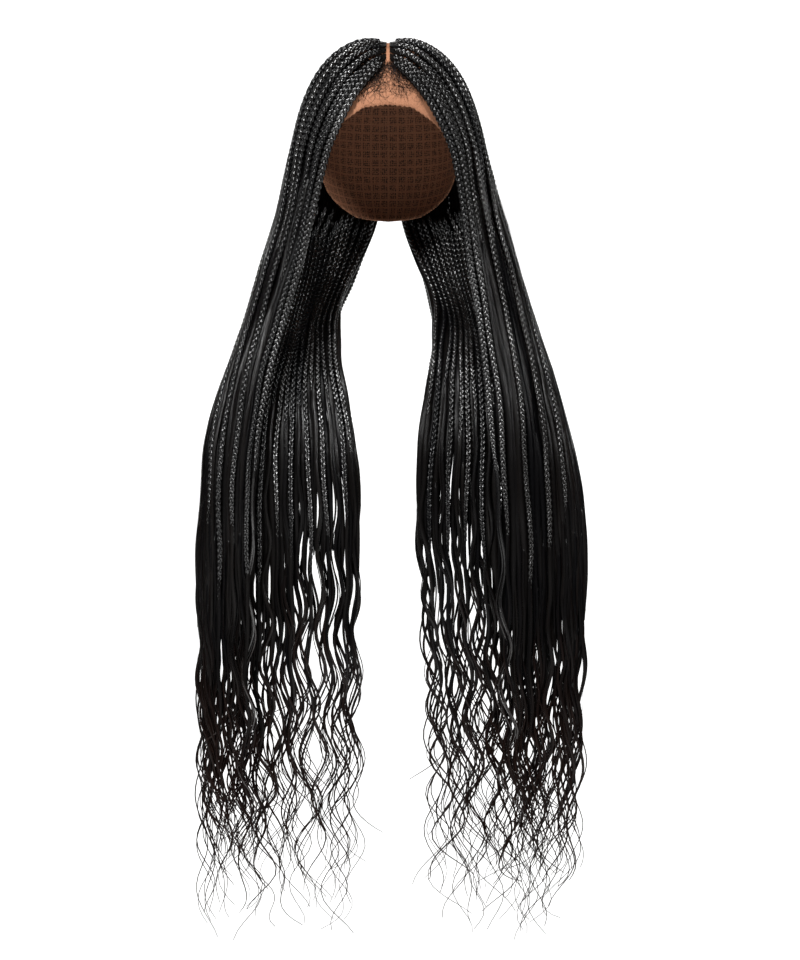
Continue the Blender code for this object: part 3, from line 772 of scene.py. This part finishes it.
class WIG_OT_back_falls(bpy.types.Operator):
    """Plaits, smooth locks and waved ends from the back of the head, brought forward round the neck"""

    bl_idname = "wig.back_falls"
    bl_label = "Back falls"

    def execute(self, context):
        for side_name in SIDES:
            node_name = "back_fall_" + side_name
            rng = np.random.default_rng(SEEDS["back"][side_name])
            sheet = Sheet("back", side_name)
            count = sizes().back_plaits
            across = spread(rng, count, 0.12)
            start = np.where(np.arange(count) % 2 == 1, NEAR_ROOT, FAR_ROOT) + rng.uniform(-1.5, 1.5, count)
            end = sheet.length_at(rng.uniform(-480.0, -390.0, count))
            plaits = Bundle()
            depth, aside = add_plaits(plaits, sheet, across, start, end, 0.0, rng, 2.8, reach=2.0)
            plaits.build("back_plaits_" + side_name, plait_surface(), node_name)

            # These lie on the side of the fall that faces the neck, which is the front once it is on the chest
            nape = sizes().nape_plaits
            inner_across = spread(rng, nape, 0.12)
            inner_height = np.where(
                np.arange(nape) % 2 == 0, rng.uniform(-590.0, -500.0, nape), rng.uniform(-440.0, -380.0, nape)
            )
            inner_end = sheet.length_at(inner_height)
            inner = Bundle()
            begin = 190.0 + rng.uniform(-10.0, 10.0, nape)
            inner_depth, inner_aside = add_plaits(inner, sheet, inner_across, begin, inner_end, 11.6, rng, 2.5)
            inner.build("nape_plaits_" + side_name, plait_surface(), node_name)

            locks, loose = Bundle(), Bundle()
            add_waved_ends(loose, sheet, inner_across, inner_end, inner_depth, ROPE_ENDS, rng, inner_aside)
            # The inner half opens from 490 mm down, and the outer half stays a closed mass 100 mm longer
            under = spread(rng, BACK_UNDER_LOCKS, 0.2)
            inner_stop = rng.uniform(-590.0, -530.0, BACK_UNDER_LOCKS)
            outer_stop = rng.uniform(-680.0, -620.0, BACK_UNDER_LOCKS)
            under_end = sheet.length_at(np.where(under > 0.5, inner_stop, outer_stop))
            add_ended_locks(locks, loose, sheet, under, UNDER_ROOT, under_end, -2.2, 5.6, rng)
            lock_end = sheet.length_at(
                np.where(across > 0.5, rng.uniform(-600.0, -540.0, count), rng.uniform(-680.0, -600.0, count))
            )
            level = 2.4 + rng.uniform(-0.6, 0.6, count)
            begin = end - rng.uniform(60.0, 90.0, count)
            add_locks(locks, sheet, across, begin, lock_end, level, rng.uniform(3.4, 4.6, count), rng, rise=3.0)
            add_waved_ends(loose, sheet, across, end, depth, LOCK_ENDS, rng, aside)
            locks.build("back_locks_" + side_name, loose_surface(), node_name)
            loose.build("back_ends_" + side_name, loose_surface(), node_name)
        return {"FINISHED"}


class WIG_OT_face_plaits(bpy.types.Operator):
    """The plait on each side that starts at the hairline and frames the face"""

    bl_idname = "wig.face_plaits"
    bl_label = "Face plaits"

    def execute(self, context):
        for side_name in SIDES:
            rng = np.random.default_rng(SEEDS["face"][side_name])
            sheet = Sheet("front", side_name)
            start, end = 9.0, float(sheet.length_at(-455.0))
            length = np.linspace(start, end, 500)
            across = -FACE_PLAIT_OFFSET / sheet.width_at(length)
            level = np.maximum(sheet.half_at(length) - plait_width(length) * 0.5, 0.0)
            fade = np.clip((length - start) / ROOT_RISE, 0.0, 1.0)
            points, normals = sheet.at(across[None], length[None], (level * fade - 1.2 * (1.0 - fade))[None])
            bundle = Bundle()
            path, path_normals, travelled = evenly(points, normals, int((end - start) / 1.8))
            plait_strands(bundle, path, path_normals, travelled, 1.15 * plait_width(start + travelled), rng)
            edge = -FACE_PLAIT_OFFSET / sheet.width_at(end)
            ends = ROPE_ENDS + (Strand(1.4, (-930.0, -840.0)),)
            add_waved_ends(bundle, sheet, np.array([edge]), np.array([end]), np.array([level[-1]]), ends, rng)
            bundle.build("face_plait_" + side_name, plait_surface(), "face_braid_" + side_name)
        return {"FINISHED"}


def double_wall(name, outer, uv_mm, thickness, closed_round):
    """A grid of points and its copy moved inwards by the wall's thickness, joined along the open edges. A grid that
    goes right round shares its first and last columns, and one face closes each wall's top ring."""
    rows, columns = outer.shape[:2]
    down = np.gradient(outer, axis=0)
    along = np.gradient(outer, axis=1)
    if closed_round:
        along[:, 0] = along[:, -1] = (outer[:, 1] - outer[:, -2]) / 2.0
    normals = unit(np.cross(down, along))
    centre = np.array([0.0, 0.0, -HEAD_HALVES[2]])
    facing = np.sign(((outer - centre) * normals).sum(axis=-1).mean())
    inner = outer - normals * facing * thickness
    vertices = np.concatenate([outer.reshape(-1, 3), inner.reshape(-1, 3)])
    number = np.arange(rows * columns).reshape(rows, columns)
    below = rows * columns
    quad = np.stack([number[:-1, :-1], number[1:, :-1], number[1:, 1:], number[:-1, 1:]], axis=-1).reshape(-1, 4)
    border = np.concatenate([number[:, 0], number[-1, 1:], number[-2::-1, -1], number[0, -2::-1]])
    if closed_round:
        border = number[-1]
    edge = np.stack([border[:-1], border[:-1] + below, border[1:] + below, border[1:]], axis=-1)
    faces = np.concatenate([quad, quad[:, ::-1] + below, edge])
    caps = np.stack([number[0, :-1], number[0, :-1][::-1] + below]) if closed_round else np.empty((0, 0), int)
    if facing < 0:
        faces, caps = faces[:, ::-1], caps[:, ::-1]
    corners = np.concatenate([faces.ravel(), caps.ravel()])
    shared = corners - (columns - 1) * (corners % columns == columns - 1) if closed_round else corners
    used, index = np.unique(shared, return_inverse=True)
    counts = np.concatenate([np.full(len(faces), 4), np.full(len(caps), caps.shape[1])])
    mesh = mesh_of(name, vertices[used], index.ravel(), counts)
    layer = mesh.uv_layers.new(name="net")
    uv = np.concatenate([uv_mm.reshape(-1, 2), uv_mm.reshape(-1, 2)])[corners]
    layer.data.foreach_set("uv", uv.ravel().astype(np.float32))
    return mesh


# Millimetres of lace to a degree round the head and down from the crown
LACE_PER_DEGREE = (1.5, 1.62)
# The hairline lace overlaps the cap by this angle, lies this far off it and is this thick
SEAM_OVERLAP = 1.5
HAIRLINE_LIFT = 0.25
HAIRLINE_WALL = 0.5
# Pinking shears leave shallow scallops of this length, in millimetres, and depth, in degrees, along its lower edge
SCALLOP_LENGTH = 5.0
SCALLOP_DEPTH = 0.9


class WIG_OT_lace(bpy.types.Operator):
    """The net cap that the plaits are tied to, and the sheer hairline lace with its cut edge"""

    bl_idname = "wig.lace"
    bl_label = "Lace cap and hairline"

    def execute(self, context):
        cap_net = lace_material("knotted_lace_net", True)
        front_net = lace_material("sheer_swiss_lace", False)
        azimuth = np.linspace(-180.0, 180.0, 121)
        mesh = self.net("net_cap", azimuth, 1.0, rim_angle(azimuth, "seam"), 44, LACE, LACE * 0.9, True)
        place_piece("net_cap", mesh, cap_net, "lace", "crown_cap")
        azimuth = np.linspace(-EAR_AZIMUTH, EAR_AZIMUTH, 241)
        seam = rim_angle(azimuth, "seam") - SEAM_OVERLAP
        turn = azimuth * HEAD_HALVES[1] / SCALLOP_LENGTH * math.pi / 180.0 * math.pi
        edge = rim_angle(azimuth, "edge") - SCALLOP_DEPTH * np.abs(np.sin(turn))
        mesh = self.net("hairline_lace", azimuth, seam, edge, 18, LACE + HAIRLINE_LIFT, HAIRLINE_WALL, False)
        place_piece("hairline_lace", mesh, front_net, "lace", "lace_front")
        return {"FINISHED"}

    def net(self, name, azimuth, upper, lower, rows, offset, thickness, closed_round):
        """A double wall over the head form, between two angles down from the crown for each azimuth."""
        polar = upper + np.linspace(0.0, 1.0, rows)[:, None] * (lower - upper)
        around = azimuth[None, :] + np.zeros_like(polar)
        uv = np.stack([around, polar], axis=-1) * LACE_PER_DEGREE
        return double_wall(name, head_point(direction(around, polar), offset), uv, thickness, closed_round)


ROOT_SEED, EDGE_SEED, FLY_AWAY_SEED = 41, 51, 61
# Single hairs: how many, the rings of each and half their thickness
EDGE_HAIRS, EDGE_HAIR_RINGS, EDGE_HAIR_HALF = 1500, 9, 0.17
FLY_AWAYS, FLY_AWAY_RINGS, FLY_AWAY_HALF = {"front": 130, "back": 80}, 12, 0.13
# Degrees from the middle to the hairline at these angles down from the crown
HAIRLINE_AT = ((40.0, 6.0), (50.0, 17.0), (65.0, 25.0), (80.0, 31.0), (95.0, 36.0))
# Millimetres to a radian down the forehead and round it
DOWN_RADIUS, ROUND_RADIUS = 95.0, 72.0


class WIG_OT_fine_hairs(bpy.types.Operator):
    """Combed roots beside the parting, short edge hairs laid on the hairline lace, and fly-away hairs"""

    bl_idname = "wig.fine_hairs"
    bl_label = "Roots, edge hairs and fly-aways"

    def execute(self, context):
        self.roots()
        self.edge_hairs()
        self.fly_aways()
        return {"FINISHED"}

    def roots(self):
        """Flat tresses combed from the parting out to where each plait starts, with a line of lace between them."""
        for side_name in SIDES:
            bundle = Bundle()
            for fall, count in (("front", sizes().front_plaits), ("back", sizes().back_plaits)):
                rng = np.random.default_rng(ROOT_SEED)
                sheet = Sheet(fall, side_name)
                across = (np.arange(0 if fall == "front" else 1, count, 2) + 0.5) / count
                locks = len(across)
                pitch = sheet.width_at(0.0) / count * 2.0
                share = np.linspace(0.0, 1.0, 10)
                length = -0.6 + 18.0 * share[None, :] + np.zeros((locks, 1))
                level = -sheet.half_at(length) - 0.4 + 3.6 * share[None, :] ** 1.3
                points, normals = sheet.at(across[:, None], length, level)
                # A tress is as wide as its share of the parting, so its rings run along the parting
                beside = sheet.at(across[:, None] + 0.01, length, level)[0]
                sideways = unit(beside - points)
                half_width = pitch * (0.44 + 0.03 * share)
                thick, tone = 0.4 + 1.5 * share, rng.random(locks)
                bundle.add(points, sideways, normals, half_width, thick, 8, 0.0, tone, length)
            falls = ("front_fall_" + side_name, "back_fall_" + side_name)
            bundle.build("combed_roots_" + side_name, loose_surface(), *falls)

    def edge_hairs(self):
        """Short hairs on the head form: heading turns at an even rate while the hair goes on in even steps."""
        rng = np.random.default_rng(EDGE_SEED)
        bundle = Bundle()
        each = (EDGE_HAIRS, 1)
        side = np.where(np.arange(EDGE_HAIRS) % 2 == 0, -1.0, 1.0)[:, None]
        polar0 = 45.0 + 27.0 * rng.beta(1.1, 2.4, each)
        azimuth0 = side * np.interp(polar0, *zip(*HAIRLINE_AT)) * rng.uniform(0.0, 1.1, each) ** 0.9
        heading = np.radians(side * rng.uniform(-15.0, 80.0, each))
        turning = np.radians(rng.normal(0.0, 6.5, each))
        reach = rng.uniform(6.0, 19.0, each)
        share = np.linspace(0.0, 1.0, EDGE_HAIR_RINGS)
        step = reach / (EDGE_HAIR_RINGS - 1)
        angle = heading + turning * reach * share
        polar = polar0 + np.degrees(np.cumsum(np.cos(angle) * step, axis=1) / DOWN_RADIUS)
        around = azimuth0 + np.degrees(np.cumsum(np.sin(angle) * step, axis=1) / ROUND_RADIUS)
        toward = direction(around, polar)
        points = head_point(toward, LACE + 0.5 + 0.4 * np.sin(math.pi * share) * rng.uniform(0.2, 1.3, each))
        half = EDGE_HAIR_HALF * (1.0 - 0.7 * share) * rng.uniform(0.7, 1.25, each)
        tone, travelled = rng.random(EDGE_HAIRS), step * np.arange(EDGE_HAIR_RINGS)
        bundle.add(points, *axes(points, toward), half, half, 3, 0.55 + 0.45 * share, tone, travelled)
        bundle.build("edge_hairs", loose_surface())

    def fly_aways(self):
        """Single hairs that stand a little off the falls: each starts on one and drifts off as its length squared."""
        rng = np.random.default_rng(FLY_AWAY_SEED)
        bundle = Bundle()
        share = np.linspace(0.0, 1.0, FLY_AWAY_RINGS)
        for fall, side_name in FALL_PLANS:
            each = (FLY_AWAYS[fall], 1)
            sheet = Sheet(fall, side_name)
            across = np.where(rng.random(each) < 0.6, rng.uniform(0.75, 1.0, each), rng.uniform(0.0, 1.0, each))
            start, reach = rng.uniform(60.0, 780.0, each), rng.uniform(50.0, 160.0, each)
            length = np.minimum(start + reach * share, sheet.length[-1] - 1.0)
            points, normals = sheet.at(across, length, sheet.half_at(length) - 1.0)
            sideways, outward = axes(points, normals)
            away = rng.uniform(-1.0, 6.0, each) * share**2
            aside = rng.normal(0.0, 6.0, each) * share**2
            aside = aside + wander(rng, length, 1.8, 60.0) * share
            points = points + outward * away[..., None] + sideways * aside[..., None]
            half = FLY_AWAY_HALF * (1.0 - 0.6 * share) * rng.uniform(0.7, 1.2, each)
            tone = rng.random(len(across))
            bundle.add(points, *axes(points, outward), half, half, 3, 0.6 + 0.4 * share, tone, length)
        bundle.build("fly_aways", loose_surface())


# Where each light stands and what it faces, in metres, the width of its disc and its power
Light = namedtuple("Light", "name place target size watts")
LIGHTS = (
    Light("key_light", (-0.9, -1.65, 0.95), (0.0, -0.08, -0.3), 0.22, 56.0),
    Light("fill_light", (1.1, -1.7, 0.5), (0.0, -0.08, -0.35), 0.36, 20.0),
    Light("top_light", (0.0, -0.7, 1.2), (0.0, -0.04, 0.0), 0.45, 20.0),
)
# The camera is level with the wig's middle, and at 2500 mm from it the picture is 1008 mm tall
CAMERA_PLACE = (0.0126, -2.55, -0.464)
SENSOR_MM = 36.0
LENS_MM = SENSOR_MM * 2500.0 / 1008.0


class WIG_OT_studio(bpy.types.Operator):
    """Pale floor and backdrop, soft lights and the camera"""

    bl_idname = "wig.studio"
    bl_label = "Studio"

    def execute(self, context):
        scene = context.scene
        scene.view_settings.view_transform = "Standard"
        world = bpy.data.worlds.new("pale_studio")
        scene.world = world
        world.use_nodes = True
        background = world.node_tree.nodes["Background"]
        background.inputs["Color"].default_value = (1.0, 1.0, 1.0, 1.0)
        background.inputs["Strength"].default_value = 0.05
        self.cove()
        for light in LIGHTS:
            self.area_light(*light)
        lens = bpy.data.cameras.new("photo_camera")
        lens.sensor_fit = "AUTO"
        lens.sensor_width = SENSOR_MM
        lens.lens = LENS_MM
        lens.clip_end = 200.0
        camera = bpy.data.objects.new("photo_camera", lens)
        camera.location = CAMERA_PLACE
        camera.rotation_euler = (math.pi / 2.0, 0.0, 0.0)
        scene.collection.objects.link(camera)
        scene.camera = camera
        return {"FINISHED"}

    def cove(self):
        """Infinity cove of white paper: a floor that turns up on a quarter circle into a back wall."""
        made, tree = new_material("white_paper_cove")
        glow = {"in_Emission_Color": (1.0, 1.0, 1.0, 1.0), "in_Emission_Strength": 0.8}
        shader = node(tree, "ShaderNodeBsdfPrincipled", in_Base_Color=colours().paper, in_Roughness=0.9, **glow)
        node(tree, "ShaderNodeOutputMaterial", [("Surface", shader.outputs[0])])
        floor_z, wall_y, radius, half_width, top_z, front_y = -1500.0, 5200.0, 1500.0, 4500.0, 3000.0, -5200.0
        turn = np.linspace(0.0, math.pi / 2.0, 12)
        y = np.concatenate([[front_y], wall_y - radius + radius * np.sin(turn), [wall_y]])
        z = np.concatenate([[floor_z], floor_z + radius - radius * np.cos(turn), [top_z]])
        left = np.stack([np.full_like(y, -half_width), y, z], axis=-1)
        vertices = np.concatenate([left, left * (-1.0, 1.0, 1.0)])
        first = np.arange(len(y) - 1)
        faces = np.stack([first, first + len(y), first + len(y) + 1, first + 1], axis=-1)
        mesh = mesh_of("studio_cove", vertices, faces.ravel(), np.full(len(faces), 4))
        mesh.materials.append(made)
        cove = bpy.data.objects.new("studio_cove", mesh)
        bpy.context.scene.collection.objects.link(cove)

    def area_light(self, name, place, target, size, watts):
        light = bpy.data.lights.new(name, "AREA")
        light.shape = "DISK"
        light.size = size
        light.energy = watts
        lamp = bpy.data.objects.new(name, light)
        lamp.location = place
        away = [a - b for a, b in zip(place, target)]
        flat = math.hypot(away[0], away[1])
        lamp.rotation_euler = (math.atan2(flat, away[2]), 0.0, math.atan2(away[0], -away[1]))
        bpy.context.scene.collection.objects.link(lamp)


class WIG_PT_panel(bpy.types.Panel):
    bl_idname = "WIG_PT_panel"
    bl_label = "Braid wig"
    bl_space_type = "VIEW_3D"
    bl_region_type = "UI"
    bl_category = "Braid wig"

    def draw(self, context):
        for group in (context.scene.wig_sizes, context.scene.wig_colours):
            for name in type(group).__annotations__:
                self.layout.prop(group, name)
        for operator in OPERATORS:
            self.layout.operator(operator.bl_idname)


OPERATORS = (
    WIG_OT_lace,
    WIG_OT_front_falls,
    WIG_OT_back_falls,
    WIG_OT_face_plaits,
    WIG_OT_fine_hairs,
    WIG_OT_studio,
)
CLASSES = (WigSizes, WigColours, *OPERATORS, WIG_PT_panel)


def register():
    for cls in CLASSES:
        bpy.utils.register_class(cls)
    bpy.types.Scene.wig_sizes = bpy.props.PointerProperty(type=WigSizes)
    bpy.types.Scene.wig_colours = bpy.props.PointerProperty(type=WigColours)


def unregister():
    del bpy.types.Scene.wig_colours
    del bpy.types.Scene.wig_sizes
    for cls in reversed(CLASSES):
        bpy.utils.unregister_class(cls)


def main():
    register()
    for operator in OPERATORS:
        group, name = operator.bl_idname.split(".")
        getattr(getattr(bpy.ops, group), name)()


if __name__ == "__main__":
    main()
